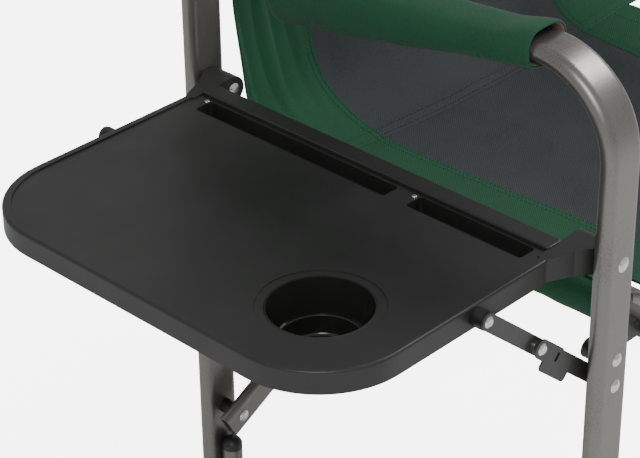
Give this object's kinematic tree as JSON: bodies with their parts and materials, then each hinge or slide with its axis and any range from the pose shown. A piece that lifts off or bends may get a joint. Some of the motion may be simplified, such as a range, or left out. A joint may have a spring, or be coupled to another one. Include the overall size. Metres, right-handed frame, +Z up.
{
  "type": "folding director chair",
  "caption": "Folding director chair with flat-oval tube side frames, crossed braces, padded arms, fabric seat and back, and a drop-down side table with cup holder.",
  "frame": {"origin": "on the floor, in the middle of the open chair's bounding box", "axes": "+Z up; the sitter looks along -Y; the side table is on the sitter's right, at -X"},
  "size_m": [0.8458, 0.4604, 0.8],
  "materials": {
    "silver_tube": "satin silver-grey powder coat",
    "black_plastic": "satin black moulding",
    "zinc_rivet": "bright zinc plate",
    "black_strut": "dark grey satin paint",
    "green_fabric": "woven polyester",
    "grey_fabric": "woven polyester",
    "table_plastic": "fine-grained black moulding"
  },
  "bodies": {
    "right_frame": {"right_leg_and_arm": "silver_tube", "right_rear_post": "silver_tube", "right_post_plug": "black_plastic", "right_foot_caps": "black_plastic", "right_lower_stretcher": "silver_tube", "right_stretcher_caps": "black_plastic", "right_arm_socket": "black_plastic", "right_rail_saddles": "black_plastic", "right_frame_rivets": "zinc_rivet", "right_lower_pivot_rivets": "zinc_rivet", "right_pivot_bushes": "black_plastic", "right_arm_sleeve": "green_fabric", "right_back_sleeve": "green_fabric", "back_panel": "grey_fabric", "back_flap": "grey_fabric", "table_hinge_pins": "zinc_rivet", "strut_foot_rivets": "zinc_rivet"},
    "brace_a": {"brace_a_front_tube": "silver_tube", "brace_a_rear_tube": "silver_tube", "brace_a_knuckles": "black_plastic", "brace_centre_rivets": "zinc_rivet", "brace_centre_washers": "black_plastic"},
    "brace_b": {"brace_b_front_tube": "silver_tube", "brace_b_rear_tube": "silver_tube", "brace_b_knuckles": "black_plastic"},
    "left_frame": {"left_leg_and_arm": "silver_tube", "left_rear_post": "silver_tube", "left_post_plug": "black_plastic", "left_foot_caps": "black_plastic", "left_lower_stretcher": "silver_tube", "left_stretcher_caps": "black_plastic", "left_arm_socket": "black_plastic", "left_rail_saddles": "black_plastic", "left_frame_rivets": "zinc_rivet", "left_lower_pivot_rivets": "zinc_rivet", "left_pivot_bushes": "black_plastic", "left_arm_sleeve": "green_fabric", "left_back_sleeve": "green_fabric"},
    "right_rail": {"right_seat_rail": "silver_tube", "right_rail_plugs": "black_plastic", "right_seat_sleeve": "green_fabric", "seat_panel": "grey_fabric"},
    "left_rail": {"left_seat_rail": "silver_tube", "left_rail_plugs": "black_plastic", "left_seat_sleeve": "green_fabric"},
    "table": {"side_table": "table_plastic", "table_rivets": "zinc_rivet", "table_strut_bosses": "black_plastic"},
    "front_strut_foot_half": {"front_strut_lower": "black_strut", "front_knee_rivet": "zinc_rivet"},
    "front_strut_table_half": {"front_strut_upper": "black_strut", "front_strut_top_rivet": "zinc_rivet"},
    "front_strut_latch": {"front_latch": "black_strut"},
    "rear_strut_foot_half": {"rear_strut_lower": "black_strut", "rear_knee_rivet": "zinc_rivet"},
    "rear_strut_table_half": {"rear_strut_upper": "black_strut", "rear_strut_top_rivet": "zinc_rivet"},
    "rear_strut_latch": {"rear_latch": "black_strut"}
  },
  "joints": [
    {"name": "chair_fold", "type": "hinge", "parent": "right_frame", "child": "brace_a", "pos_m": [-0.1384, 0, 0.13], "axis": [0, -1, 0], "range_deg": [0, 31], "deforming": ["seat_panel", "back_panel", "back_flap"]},
    {"name": "brace_centre", "type": "hinge", "parent": "brace_a", "child": "brace_b", "pos_m": [0.1296, 0, 0.27297], "axis": [0, -1, 0], "range_deg": [-62, 0]},
    {"name": "left_foot_pivot", "type": "hinge", "parent": "brace_b", "child": "left_frame", "pos_m": [0.3976, 0, 0.13], "axis": [0, -1, 0], "range_deg": [0, 31]},
    {"name": "right_rail_pivot", "type": "hinge", "parent": "brace_b", "child": "right_rail", "pos_m": [-0.0804, 0, 0.385], "axis": [0, -1, 0], "range_deg": [0, 31]},
    {"name": "left_rail_pivot", "type": "hinge", "parent": "brace_a", "child": "left_rail", "pos_m": [0.3396, 0, 0.385], "axis": [0, -1, 0], "range_deg": [-31, 0]},
    {"name": "table_fold", "type": "hinge", "parent": "right_frame", "child": "table", "pos_m": [-0.1404, 0, 0.472], "axis": [0, -1, 0], "range_deg": [0, 90]},
    {"name": "front_strut_foot", "type": "hinge", "parent": "right_frame", "child": "front_strut_foot_half", "pos_m": [-0.1404, -0.206, 0.363], "axis": [0, -1, 0], "range_deg": [0, 130.9]},
    {"name": "front_strut_knee", "type": "hinge", "parent": "front_strut_foot_half", "child": "front_strut_table_half", "pos_m": [-0.20983, -0.206, 0.42306], "axis": [0, -1, 0], "range_deg": [-180, 0]},
    {"name": "front_strut_release", "type": "hinge", "parent": "front_strut_foot_half", "child": "front_strut_latch", "pos_m": [-0.20983, -0.206, 0.42306], "axis": [0, 1, 0], "range_deg": [0, 8], "stiffness_Nm_per_rad": 0.15, "springref_deg": -17.19},
    {"name": "rear_strut_foot", "type": "hinge", "parent": "right_frame", "child": "rear_strut_foot_half", "pos_m": [-0.1404, 0.206, 0.363], "axis": [0, -1, 0], "range_deg": [0, 130.9]},
    {"name": "rear_strut_knee", "type": "hinge", "parent": "rear_strut_foot_half", "child": "rear_strut_table_half", "pos_m": [-0.20983, 0.206, 0.42306], "axis": [0, -1, 0], "range_deg": [-180, 0]},
    {"name": "rear_strut_release", "type": "hinge", "parent": "rear_strut_foot_half", "child": "rear_strut_latch", "pos_m": [-0.20983, 0.206, 0.42306], "axis": [0, 1, 0], "range_deg": [0, 8], "stiffness_Nm_per_rad": 0.15, "springref_deg": -17.19}
  ],
  "couplings": [
    {"joint": "brace_centre", "follows": "chair_fold", "ratio": -2},
    {"joint": "left_foot_pivot", "follows": "chair_fold", "ratio": 1},
    {"joint": "right_rail_pivot", "follows": "chair_fold", "ratio": 1},
    {"joint": "left_rail_pivot", "follows": "chair_fold", "ratio": -1},
    {"joint": "front_strut_foot", "follows": "table_fold", "ratio": 1.4544},
    {"joint": "front_strut_knee", "follows": "table_fold", "ratio": -2},
    {"joint": "rear_strut_foot", "follows": "table_fold", "ratio": 1.4544},
    {"joint": "rear_strut_knee", "follows": "table_fold", "ratio": -2}
  ]
}
